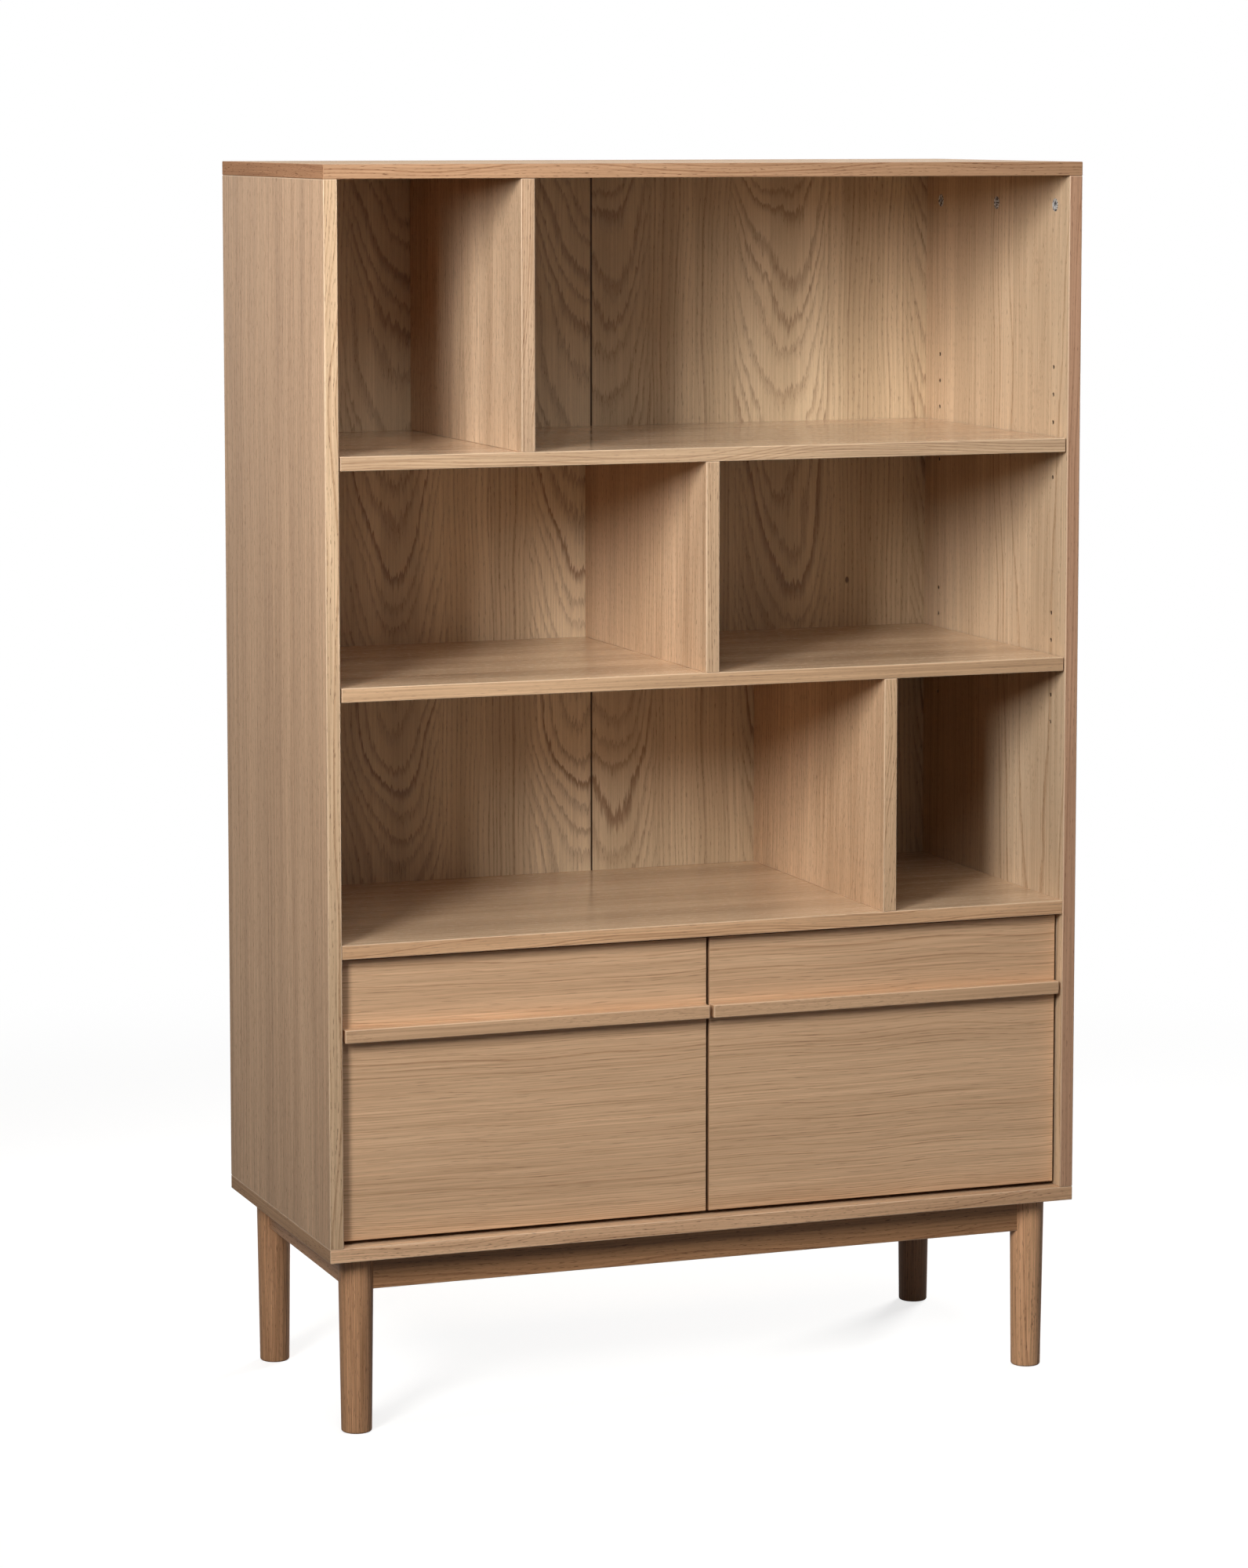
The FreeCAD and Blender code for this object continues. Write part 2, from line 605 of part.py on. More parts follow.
middle_half_height = slide_inner_z - slide_running_gap
inner_half_height = middle_half_height - slide_metal - slide_running_gap
cabinet_screws = []
partition_cutters = []
for side, name in ((-1, "left"), (1, "right")):
    drawer = name + "_drawer"
    far_x = side * inner_half_width
    near_x = side * partition_thickness / 2
    front_xs = (side * front_middle_gap / 2, side * (inner_half_width - front_side_gap))
    front_board = eased_block(front_xs, (front_face_y, front_rear_y), (front_low_z, front_high_z))

    strip_high_z = front_high_z - strip_drop
    strip_xs = (front_xs[0] + side * strip_end_setback, front_xs[1] - side * strip_end_setback)
    strip_front_y = front_face_y - strip_depth
    strip_zs = (strip_high_z - strip_height, strip_high_z)
    strip = eased_block(strip_xs, (strip_front_y, front_face_y), strip_zs, strip_arris_radius)
    tongue_middle_z = strip_high_z - strip_height / 2
    tongue_zs = (tongue_middle_z - strip_tongue_height / 2, tongue_middle_z + strip_tongue_height / 2)
    tongue_ys = (front_face_y - strip_arris_radius, front_face_y + strip_tongue_depth)
    tongue = block(strip_xs, tongue_ys, tongue_zs)
    front_board = front_board.cut(tongue)
    parts[drawer + "_grip_strip"] = strip.fuse(tongue).removeSplitter()

    box_xs = (near_x + side * slide_thickness, far_x - side * slide_thickness)
    inside_xs = (box_xs[0] + side * box_board, box_xs[1] - side * box_board)
    box_ys = (front_rear_y, box_rear_y)
    inside_ys = (front_rear_y + box_board, box_rear_y - box_board)
    box_zs = (box_low_z, box_low_z + box_height)
    partition_side = eased_block((box_xs[0], inside_xs[0]), box_ys, box_zs)
    case_side = eased_block((box_xs[1], inside_xs[1]), box_ys, box_zs)
    box_front = eased_block(inside_xs, (front_rear_y, inside_ys[0]), box_zs)
    box_back = eased_block(inside_xs, (inside_ys[1], box_rear_y), box_zs)
    bottom_xs = (inside_xs[0] - side * box_groove_depth, inside_xs[1] + side * box_groove_depth)
    bottom_ys = (inside_ys[0] - box_groove_depth, inside_ys[1] + box_groove_depth)
    bottom_zs = (box_low_z + box_bottom_lift, box_low_z + box_bottom_lift + box_bottom_thickness)
    box_bottom = block(bottom_xs, bottom_ys, bottom_zs)

    front_screws = []
    for x in (inside_xs[0] + side * front_screw_inset, inside_xs[1] - side * front_screw_inset):
        for z in (box_zs[0] + front_screw_inset, box_zs[1] - front_screw_inset):
            screw = round_head_screw(
                front_screw_radius,
                box_board + front_screw_in_front,
                front_screw_head_radius,
                front_screw_head_height,
                Vector(x, inside_ys[0], z),
                Vector(0, -1, 0),
            )
            front_screws.append(screw)

    outer_slides = []
    middle_slides = []
    inner_slides = []
    box_side_screws = []
    for wall_x, toward in ((near_x, side), (far_x, -side)):
        outer = channel_section(wall_x, toward, 0, outer_lip_reach, slide_height / 2, 1)
        middle = channel_section(
            wall_x, toward, middle_web_place, middle_flange_reach, middle_half_height, 1
        )
        inner = channel_section(
            wall_x, toward, inner_flange_reach, slide_thickness, inner_half_height, -1
        )
        for place in slide_screw_places(wall_x + toward * slide_metal):
            screw = round_head_screw(
                slide_screw_radius,
                slide_screw_length,
                slide_screw_head_radius,
                slide_screw_head_height,
                place,
                across * -toward,
            )
            outer = outer.cut(screw)
            cabinet_screws.append(screw)
            if wall_x == near_x:
                partition_cutters.append(screw)
            else:
                parts[name + "_side_panel"] = parts[name + "_side_panel"].cut(screw)
        for place in slide_screw_places(wall_x + toward * (slide_thickness - slide_metal)):
            screw = round_head_screw(
                slide_screw_radius,
                slide_screw_length,
                slide_screw_head_radius,
                slide_screw_head_height,
                place,
                across * toward,
            )
            inner = inner.cut(screw)
            box_side_screws.append(screw)
        outer_slides.append(outer)
        middle_slides.append(middle)
        inner_slides.append(inner)

    parts[drawer + "_front"] = front_board.cut(front_screws)
    parts[drawer + "_box_front"] = box_front.cut([box_bottom] + front_screws)
    parts[drawer + "_box_back"] = box_back.cut(box_bottom)
    box_sides = (("partition", partition_side), ("case", case_side))
    for place, board in box_sides:
        parts[drawer + "_box_" + place + "_side"] = board.cut([box_bottom] + box_side_screws)
    parts[drawer + "_box_bottom"] = box_bottom
    parts[drawer + "_screws"] = Part.makeCompound(front_screws + box_side_screws)
    parts[drawer + "_outer_slides"] = Part.makeCompound(outer_slides)
    parts[drawer + "_middle_slides"] = Part.makeCompound(middle_slides)
    parts[drawer + "_inner_slides"] = Part.makeCompound(inner_slides)

parts["top_board"] = top_board
parts["bottom_board"] = bottom_board
parts["fixed_shelf"] = fixed_shelf
parts["middle_shelf"] = middle_shelf
parts["upper_shelf"] = upper_shelf
parts["upper_divider"] = upper_divider
parts["middle_divider"] = middle_divider
parts["lower_divider"] = lower_divider
parts["drawer_partition"] = partition.cut(partition_cutters)
parts["divider_dowels"] = Part.makeCompound(divider_dowels)
parts["partition_dowels"] = Part.makeCompound(partition_dowels)
parts["cam_housings"] = Part.makeCompound(cams)
parts["cam_bolts"] = Part.makeCompound(cam_bolts)
parts["upper_shelf_pins"] = Part.makeCompound(pins["upper"])
parts["middle_shelf_pins"] = Part.makeCompound(pins["middle"])
parts["back_screws"] = Part.makeCompound(back_screws)
parts["leg_bolts"] = Part.makeCompound(leg_bolts)
parts["base_screws"] = Part.makeCompound(base_screws)
parts["slide_screws"] = Part.makeCompound(cabinet_screws)

os.makedirs("parts", exist_ok=True)
for name, shape in parts.items():
    shape.exportStep("parts/" + name + ".step")
print(len(parts), "nodes written, overall height", case_top_z)
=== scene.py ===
import math

import bpy
from mathutils import Euler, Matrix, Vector


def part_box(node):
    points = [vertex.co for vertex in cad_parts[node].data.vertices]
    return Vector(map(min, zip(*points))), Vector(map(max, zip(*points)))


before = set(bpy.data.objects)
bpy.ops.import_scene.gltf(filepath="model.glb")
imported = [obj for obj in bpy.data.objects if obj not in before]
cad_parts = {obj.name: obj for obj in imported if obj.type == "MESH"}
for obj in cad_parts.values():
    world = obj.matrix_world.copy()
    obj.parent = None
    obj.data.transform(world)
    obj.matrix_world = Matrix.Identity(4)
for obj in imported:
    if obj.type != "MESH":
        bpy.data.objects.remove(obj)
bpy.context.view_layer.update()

print("stage 1: frame loaded,", len(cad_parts), "nodes")


# Small helpers for building node trees
def addNode(tree, kind, **settings):
    node = tree.nodes.new(kind)
    for key, value in settings.items():
        setattr(node, key, value)
    return node


def feed(tree, socket, value):
    if isinstance(value, bpy.types.NodeSocket):
        tree.links.new(value, socket)
    else:
        socket.default_value = value


def calc(tree, operation, first, second=0.0, third=0.0):
    node = addNode(tree, "ShaderNodeMath", operation=operation)
    for socket, value in zip(node.inputs, (first, second, third)):
        feed(tree, socket, value)
    return node.outputs[0]


def vectorCalc(tree, operation, *values):
    node = addNode(tree, "ShaderNodeVectorMath", operation=operation)
    for socket, value in zip(node.inputs, values):
        feed(tree, socket, value)
    return node.outputs["Value" if operation == "LENGTH" else "Vector"]


def split(tree, vector):
    node = addNode(tree, "ShaderNodeSeparateXYZ")
    tree.links.new(vector, node.inputs[0])
    return node.outputs


def join(tree, values):
    node = addNode(tree, "ShaderNodeCombineXYZ")
    for socket, value in zip(node.inputs, values):
        feed(tree, socket, value)
    return node.outputs[0]


def blend(tree, factor, first, second):
    return calc(tree, "MULTIPLY_ADD", calc(tree, "SUBTRACT", second, first), factor, first)


def remap(tree, value, fromLow, fromHigh, toLow=0.0, toHigh=1.0, smooth=True):
    kind = "SMOOTHSTEP" if smooth else "LINEAR"
    node = addNode(tree, "ShaderNodeMapRange", interpolation_type=kind)
    for socket, amount in zip(node.inputs, (value, fromLow, fromHigh, toLow, toHigh)):
        feed(tree, socket, amount)
    return node.outputs[0]


def noise(tree, vector, scale=1.0, detail=2.0, roughness=0.5):
    node = addNode(tree, "ShaderNodeTexNoise")
    values = {"Vector": vector, "Scale": scale, "Detail": detail, "Roughness": roughness}
    for title, value in values.items():
        feed(tree, node.inputs[title], value)
    return node.outputs["Fac"]


def stretch(tree, parts, amounts, seed):
    # A vector whose three parts are scaled apart, so that noise runs along the grain
    pairs = zip(parts, amounts)
    return join(tree, [calc(tree, "MULTIPLY_ADD", part, amount, seed) for part, amount in pairs])


def mix(tree, kind, sockets, values, blendType="MIX"):
    # The Mix node has sockets for every kind of data, and names don't tell them apart
    node = addNode(tree, "ShaderNodeMix", data_type=kind, blend_type=blendType)
    for index, value in zip(sockets["inputs"], values):
        feed(tree, node.inputs[index], value)
    return node.outputs[sockets["output"]]


def mixColor(tree, factor, first, second, blendType="MIX"):
    return mix(tree, "RGBA", {"inputs": (0, 6, 7), "output": 2}, (factor, first, second), blendType)


def mixVector(tree, factor, first, second):
    return mix(tree, "VECTOR", {"inputs": (0, 4, 5), "output": 1}, (factor, first, second))


def newGroup(name, inputs, outputs):
    group = bpy.data.node_groups.new(name, "ShaderNodeTree")
    kinds = {"value": "NodeSocketFloat", "vector": "NodeSocketVector"}
    for title, kind, start in inputs:
        socket = group.interface.new_socket(title, in_out="INPUT", socket_type=kinds[kind])
        if start is not None:
            socket.default_value = start
    for title in outputs:
        group.interface.new_socket(title, in_out="OUTPUT", socket_type=kinds["value"])
    return group, addNode(group, "NodeGroupInput").outputs, addNode(group, "NodeGroupOutput").inputs


def placeGroup(tree, group, values):
    node = addNode(tree, "ShaderNodeGroup")
    node.node_tree = group
    for title, value in values.items():
        feed(tree, node.inputs[title], value)
    return node.outputs


def linear(red, green, blue):
    # Colours are written as 0 to 255, as a picture editor shows them
    parts = [channel / 255 for channel in (red, green, blue)]
    parts = [part / 12.92 if part <= 0.04045 else ((part + 0.055) / 1.055) ** 2.4 for part in parts]
    return (*parts, 1.0)


# Oak figure: rings cut lengthwise, which close into arches near the heart and run straight beside it.
# Scales are in waves for each metre, across the grain, through the board and along the grain
figureValues = {
    "wanderScales": (0.0, 0.0, 3.0), "wanderReach": 0.05,        # the heart's line strays to the sides
    "waverScales": (9.0, 8.0, 4.0), "jagScales": (380.0, 380.0, 22.0),
    "yearScale": 0.45, "yearDrift": 1.6,                         # good and bad years: wide and narrow rings
    "ringRise": 0.12, "ringFall": 0.62,                          # shares of a ring
    "weakestFrom": 0.3,                                          # rings whose lot is higher fade
    "straightSlope": 0.55, "straightWaver": 0.012, "straightJag": 0.002, "straightStrength": 0.62,
    "straightFrom": 0.75, "straightTo": 1.2,                     # shares of the arches' reach
    "knotSquash": (1.0, 0.0, 0.6), "knotReach": 6.0, "knotEdge": (0.5, 1.1),
    "poreScales": (1100.0, 1100.0, 1.0), "poreEdge": (0.58, 0.68),
    "crowdedFrom": 0.7, "poresBetweenRings": 0.22,
    "fibreScales": (560.0, 560.0, 5.0), "driftScales": (19.0, 6.0, 0.9),
}


def buildOakFigure(values):
    group, given, out = newGroup(
        "oakFigure",
        [
            ("Vector", "vector", None),         # across the grain, through the board, along the grain
            ("Heart", "value", 0.0),            # where the arches stand, across the grain
            ("Leaf Width", "value", 0.232),     # veneer leaves lie side by side and repeat the figure
            ("Heart Radius", "value", 0.06),    # a small radius gives narrow arches
            ("Arch Reach", "value", 9.0),       # beyond this distance from the heart the rings run straight
            ("Ring Width", "value", 0.004),
            ("Ring Variety", "value", 0.9),     # 0 draws all rings as dark, 1 lets some fade away
            ("Taper", "value", 0.1),            # how fast a ring closes along the grain
            ("Waver", "value", 0.006),
            ("Fray", "value", 0.0022),          # how far the teeth of an arch reach
            ("Pore Length", "value", 0.009),
            ("Seed", "value", 0.0),
            ("Knot Place", "vector", (9.0, 0.0, 9.0)),
            ("Knot Size", "value", 0.003),
        ],
        ["Rings", "Pores", "Fibre", "Drift", "Knot"],
    )
    seed = given["Seed"]

    def drawRings(field):
        phase = calc(group, "DIVIDE", field, given["Ring Width"])
        years = noise(group, join(group, (phase, seed)), values["yearScale"], 1.0)
        phase = calc(group, "MULTIPLY_ADD", years, values["yearDrift"], phase)
        share = calc(group, "FRACT", phase)
        rise, fall = values["ringRise"], values["ringFall"]
        rising = remap(group, share, 0.0, rise)
        band = calc(group, "MULTIPLY", rising, remap(group, share, rise, fall, 1.0, 0.0))
        lot = addNode(group, "ShaderNodeTexWhiteNoise", noise_dimensions="1D")
        feed(group, lot.inputs["W"], calc(group, "FLOOR", phase))
        weak = remap(group, lot.outputs["Value"], values["weakestFrom"], 1.0, 1.0, 0.0)
        weak = calc(group, "MULTIPLY", weak, given["Ring Variety"])
        return band, calc(group, "MULTIPLY", band, calc(group, "SUBTRACT", 1.0, weak))

    across, through, along = split(group, given["Vector"])
    halfLeaf = calc(group, "MULTIPLY", given["Leaf Width"], 0.5)
    fromHeart = calc(group, "SUBTRACT", across, given["Heart"])
    local = calc(group, "WRAP", fromHeart, halfLeaf, calc(group, "MULTIPLY", halfLeaf, -1.0))
    wander = noise(group, stretch(group, (across, through, along), values["wanderScales"], seed), 1.0, 1.0)
    local = calc(group, "MULTIPLY_ADD", calc(group, "SUBTRACT", wander, 0.5), values["wanderReach"], local)
    waver = noise(group, stretch(group, (local, through, along), values["waverScales"], seed), 1.0, 1.0)
    jag = noise(group, stretch(group, (across, through, along), values["jagScales"], seed), roughness=0.6)

    # Arches beside the heart, which part round a knot
    squared = calc(group, "MULTIPLY", calc(group, "POWER", local, 2.0), 0.5)
    arches = calc(group, "ADD", calc(group, "DIVIDE", squared, given["Heart Radius"]), through)
    arches = calc(group, "MULTIPLY_ADD", calc(group, "SUBTRACT", waver, 0.5), given["Waver"], arches)
    arches = calc(group, "MULTIPLY_ADD", calc(group, "SUBTRACT", jag, 0.5), given["Fray"], arches)
    arches = calc(group, "SUBTRACT", arches, calc(group, "MULTIPLY", along, given["Taper"]))
    fromKnot = vectorCalc(group, "SUBTRACT", given["Vector"], given["Knot Place"])
    fromKnot = vectorCalc(group, "LENGTH", vectorCalc(group, "MULTIPLY", fromKnot, values["knotSquash"]))
    fromKnot = calc(group, "DIVIDE", fromKnot, given["Knot Size"])
    parted = remap(group, fromKnot, 0.0, values["knotReach"], 1.0, 0.0)
    arches = calc(group, "MULTIPLY_ADD", parted, given["Ring Width"], arches)
    archBand, archRings = drawRings(arches)

    # Straight stripes farther out
    straight = calc(group, "MULTIPLY", waver, values["straightWaver"])
    straight = calc(group, "MULTIPLY_ADD", across, values["straightSlope"], straight)
    straight = calc(group, "MULTIPLY_ADD", jag, values["straightJag"], straight)
    sideBand, sideRings = drawRings(straight)
    sideRings = calc(group, "MULTIPLY", sideRings, values["straightStrength"])
    away = calc(group, "DIVIDE", calc(group, "ABSOLUTE", local), given["Arch Reach"])
    beside = remap(group, away, values["straightFrom"], values["straightTo"])
    band = blend(group, beside, archBand, sideBand)

    poreAlong = calc(group, "DIVIDE", along, given["Pore Length"])
    dashes = stretch(group, (across, through, poreAlong), values["poreScales"], seed)
    dashes = remap(group, noise(group, dashes, 1.0, 1.0), *values["poreEdge"])
    crowded = remap(group, band, 0.0, values["crowdedFrom"], values["poresBetweenRings"], 1.0, False)
    fibre = stretch(group, (across, through, along), values["fibreScales"], seed)
    fibre = noise(group, fibre, 1.0, 3.0, 0.6)
    drift = noise(group, stretch(group, (across, through, along), values["driftScales"], seed))
    group.links.new(blend(group, beside, archRings, sideRings), out["Rings"])
    group.links.new(calc(group, "MULTIPLY", dashes, crowded), out["Pores"])
    group.links.new(fibre, out["Fibre"])
    group.links.new(drift, out["Drift"])
    group.links.new(remap(group, fromKnot, *values["knotEdge"], 1.0, 0.0), out["Knot"])
    return group


# Masks of a board, from the distances to its faces: eased arrises, edge bands, ends and bored holes.
# Depths are in metres
arrisValues = {
    "arrisShares": (0.3, 1.0), "boredDepths": (0.0006, 0.0014), "bandDepths": (0.0003, 0.0007), "far": 10.0,
}


def buildArris(values):
    group, given, out = newGroup(
        "boardArris",
        [
            ("Position", "vector", None),
            ("Low Corner", "vector", (0, 0, 0)),
            ("High Corner", "vector", (1, 1, 1)),
            ("Through", "vector", (0, 0, 1)),   # 1 on the axis that runs through the board
            ("Along", "vector", (1, 0, 0)),     # 1 on the axis of the grain
            ("Reach", "value", 0.0015),
        ],
        ["Arris", "Edge Band", "End", "Bored"],
    )

    def least(parts):
        x, y, z = parts
        return calc(group, "MINIMUM", calc(group, "MINIMUM", x, y), z)

    gaps = [vectorCalc(group, "ABSOLUTE", vectorCalc(group, "SUBTRACT", given["Position"], given[corner]))
            for corner in ("Low Corner", "High Corner")]
    nearest = vectorCalc(group, "MINIMUM", *gaps)
    x, y, z = split(group, nearest)
    low = least((x, y, z))
    high = calc(group, "MAXIMUM", calc(group, "MAXIMUM", x, y), z)
    total = calc(group, "ADD", calc(group, "ADD", x, y), z)
    middle = calc(group, "SUBTRACT", calc(group, "SUBTRACT", total, low), high)
    arrisShare = calc(group, "DIVIDE", middle, given["Reach"])
    group.links.new(remap(group, arrisShare, *values["arrisShares"], 1.0, 0.0), out["Arris"])
    group.links.new(remap(group, low, *values["boredDepths"]), out["Bored"])

    # A far shift takes the axes that don't count out of the comparison
    far = values["far"]
    sides = vectorCalc(group, "MULTIPLY_ADD", given["Through"], (far,) * 3, nearest)
    toEdge = least(split(group, sides))
    ends = vectorCalc(group, "MULTIPLY_ADD", given["Along"], (-far,) * 3, nearest)
    toEnd = calc(group, "ADD", least(split(group, ends)), far)
    for title, depth in (("Edge Band", toEdge), ("End", toEnd)):
        group.links.new(remap(group, depth, *values["bandDepths"], 1.0, 0.0), out[title])
    return group


# Drawn or cast metal: faint streaks, blotches and scratches
skinValues = {"scratchScale": 900.0, "scratchEdge": (0.66, 0.7)}


def buildMetalSkin(values):
    group, given, out = newGroup(
        "metalSkin",
        [
            ("Position", "vector", None),
            ("Streak", "vector", (40.0, 1200.0, 1200.0)),
            ("Blotch", "value", 60.0),
        ],
        ["Streaks", "Blotches", "Scratches"],
    )
    drawn = vectorCalc(group, "MULTIPLY", given["Position"], given["Streak"])
    scratch = noise(group, given["Position"], values["scratchScale"], 1.0)
    group.links.new(noise(group, drawn, 1.0, 3.0, 0.6), out["Streaks"])
    group.links.new(noise(group, given["Position"], given["Blotch"]), out["Blotches"])
    group.links.new(remap(group, scratch, *values["scratchEdge"]), out["Scratches"])
    return group


oakFigure = buildOakFigure(figureValues)
boardArris = buildArris(arrisValues)
metalSkin = buildMetalSkin(skinValues)
print("stage 2: shader groups ready")


def dress(nodeName, material):
    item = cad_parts[nodeName]
    if not item.data.materials:
        item.data.materials.append(material)
    for slot in item.material_slots:
        slot.material = material


# Finishes of wood. Tones are the pale late wood, the dark pore bands and the pores
oakTones = {
    "veneer": {"pale": (207, 172, 138), "dark": (163, 120, 85), "pore": (112, 76, 52)},
    "back": {"pale": (191, 165, 132), "dark": (122, 86, 61), "pore": (88, 58, 42)},
    "solid": {"pale": (192, 144, 105), "dark": (148, 99, 66), "pore": (102, 66, 44)},
    "box": {"pale": (214, 192, 160), "dark": (184, 154, 116), "pore": (158, 128, 94)},
    "pine": {"pale": (220, 190, 145), "dark": (188, 142, 92), "pore": (160, 116, 74)},
    "beech": {"pale": (211, 174, 136), "dark": (186, 145, 106), "pore": (146, 106, 76)},
}

# What a board has where its own dictionary says nothing else
plainBoard = {
    "tone": "veneer", "seed": 0.0, "heart": 0.5, "leaf": 9.0, "radius": 0.5, "reach": 9.0,
    "ring": 0.0034, "variety": 0.9, "taper": 0.006, "waver": 0.006, "fray": 0.0022,
    "poreLength": 0.009, "knot": (9.0, 0.0, 9.0),
    "bands": 0.78, "pores": 0.72, "fibre": 0.5, "drift": 0.3,             # strengths of the figure
    "brightness": 1.04, "tint": (1.0, 1.0, 1.0),
    "edgeTint": (1.0, 1.0, 1.0), "endTint": (1.0, 1.0, 1.0), "holeTone": (74, 54, 38),
    "arris": 0.35, "edge": (232, 208, 180),                               # arrises pale from wear and from a painted highlight
    "roughness": 0.38, "edgeGloss": 0.0, "specular": 0.5, "bump": 0.05,
}
# The inputs of the figure, and the value that feeds each
figureInputs = {
    "Heart": "heart", "Leaf Width": "leaf", "Heart Radius": "radius", "Arch Reach": "reach",
    "Ring Width": "ring", "Ring Variety": "variety", "Taper": "taper", "Waver": "waver", "Fray": "fray",
    "Pore Length": "poreLength", "Seed": "seed", "Knot Place": "knot",
}
woodValues = {
    "redness": (1.0, 1.16, 1.32),        # powers that make darker grain redder
    "fibreSpan": (0.25, 0.75), "driftSpan": (0.3, 0.7),
    "knotStrength": 0.9, "poreRoughness": 0.25, "fibreRoughness": 0.1, "arrisRoughness": -0.08,
    "fibreHeight": 0.3, "bumpStrength": 4.0, "bumpDistance": 0.0002,
}


def woodMaterial(nodeName, board):
    values = {**plainBoard, **board}
    tone = oakTones[values["tone"]]
    material = bpy.data.materials.new(nodeName)
    material.use_nodes = True
    tree = material.node_tree
    shader = tree.nodes["Principled BSDF"]
    place = addNode(tree, "ShaderNodeTexCoord").outputs["Object"]
    parts = dict(zip("XYZ", split(tree, place)))
    across, through, along = values["axes"]
    low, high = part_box(nodeName)
    masks = placeGroup(tree, boardArris, {
        "Position": place, "Low Corner": tuple(low), "High Corner": tuple(high),
        "Through": tuple(float(axis == through) for axis in "XYZ"),
        "Along": tuple(float(axis == along) for axis in "XYZ"),
    })
    # The band on a board's end has its grain along that end
    onFaces = join(tree, (parts[across], parts[through], parts[along]))
    onEnds = join(tree, (parts[through], parts[along], parts[across]))
    grain = mixVector(tree, masks["End"], onFaces, onEnds)
    figure = {title: values[key] for title, key in figureInputs.items()}
    figure = placeGroup(tree, oakFigure, {"Vector": grain, **figure})

    pale, dark, pore = (
        (*(part * share for part, share in zip(linear(*tone[key]), values["tint"])), 1.0)
        for key in ("pale", "dark", "pore")
    )
    color = mixColor(tree, calc(tree, "MULTIPLY", figure["Rings"], values["bands"]), pale, dark)
    color = mixColor(tree, calc(tree, "MULTIPLY", figure["Pores"], values["pores"]), color, pore)
    color = mixColor(tree, calc(tree, "MULTIPLY", figure["Knot"], woodValues["knotStrength"]), color, pore)
    halfFibre, halfDrift = values["fibre"] / 2, values["drift"] / 2
    fibre = remap(tree, figure["Fibre"], *woodValues["fibreSpan"], 1.0 - halfFibre, 1.0 + halfFibre, False)
    drift = remap(tree, figure["Drift"], *woodValues["driftSpan"], 1.0 - halfDrift, 1.0 + halfDrift, False)
    level = calc(tree, "MULTIPLY", calc(tree, "MULTIPLY", fibre, drift), values["brightness"])
    grey = addNode(tree, "ShaderNodeCombineColor")
    for socket, power in zip(grey.inputs, woodValues["redness"]):
        feed(tree, socket, calc(tree, "POWER", level, power))
    color = mixColor(tree, 1.0, color, grey.outputs[0], "MULTIPLY")
    color = mixColor(tree, masks["Edge Band"], color, (*values["edgeTint"], 1.0), "MULTIPLY")
    color = mixColor(tree, masks["End"], color, (*values["endTint"], 1.0), "MULTIPLY")
    # Arrises take the edge colour: wear, with a painted highlight where that colour is pale and painted
    # shade where it is dark
    arrisWearAndPaintedLight = calc(tree, "MULTIPLY", masks["Arris"], values["arris"])
    color = mixColor(tree, arrisWearAndPaintedLight, color, linear(*values["edge"]))
    # Deep inside bored holes the colour turns dark
    if values["holeTone"]:
        color = mixColor(tree, masks["Bored"], color, linear(*values["holeTone"]))
    tree.links.new(color, shader.inputs["Base Color"])

    rough = calc(tree, "MULTIPLY_ADD", figure["Pores"], woodValues["poreRoughness"], values["roughness"])
    rough = calc(tree, "MULTIPLY_ADD", figure["Fibre"], woodValues["fibreRoughness"], rough)
    rough = calc(tree, "MULTIPLY_ADD", masks["Edge Band"], -values["edgeGloss"], rough)
    rough = calc(tree, "MULTIPLY_ADD", masks["Arris"], woodValues["arrisRoughness"], rough)
    tree.links.new(rough, shader.inputs["Roughness"])
    shader.inputs["Specular IOR Level"].default_value = values["specular"]
    height = calc(tree, "MULTIPLY", figure["Fibre"], woodValues["fibreHeight"])
    bump = addNode(tree, "ShaderNodeBump")
    bump.inputs["Strength"].default_value = values["bump"] * woodValues["bumpStrength"]
    bump.inputs["Distance"].default_value = woodValues["bumpDistance"]
    tree.links.new(calc(tree, "SUBTRACT", height, figure["Pores"]), bump.inputs["Height"])
    tree.links.new(bump.outputs[0], shader.inputs["Normal"])
    return material


def dressWood(boards):
    for nodeName, board in boards.items():
        dress(nodeName, woodMaterial(nodeName, board))


# Axes name the directions across the grain, through the board and along the grain
caseBoards = {
    "top_board": {
        "axes": "YZX", "seed": 3.1, "heart": 0.35, "ring": 0.0036,
        # The bluish tint is a painted sheen, and the dark arrises are painted shade along the joints
        "brightness": 0.88, "tint": (0.97, 1.05, 1.13), "edgeTint": (0.866, 0.714, 0.611),
        "endTint": (0.82, 0.71, 0.64), "arris": 0.45, "edge": (150, 112, 82),
        "roughness": 0.85, "edgeGloss": 0.15, "specular": 0.35,
    },
    "bottom_board": {
        "axes": "YZX", "seed": 8.4, "heart": 0.3, "ring": 0.0036,
        "edgeTint": (1.1, 1.02, 0.97), "endTint": (0.62, 0.58, 0.51), "edgeGloss": -0.1,
    },
    "left_side_panel": {
        "axes": "YXZ", "seed": 1.7, "ring": 0.0042,
        "tint": (0.95, 0.9, 0.85), "edgeTint": (1.03, 1.13, 1.2),
    },
    "right_side_panel": {
        "axes": "YXZ", "seed": 5.2, "heart": -0.12, "radius": 0.22, "ring": 0.0038, "taper": 0.02,
        "waver": 0.01, "bands": 0.6, "pores": 0.5, "fibre": 0.4, "drift": 0.18,
        "tint": (0.97, 1.06, 1.12), "edgeTint": (0.8, 0.63, 0.59),
    },
}
dressWood(caseBoards)
print("stage 3: case boards finished")
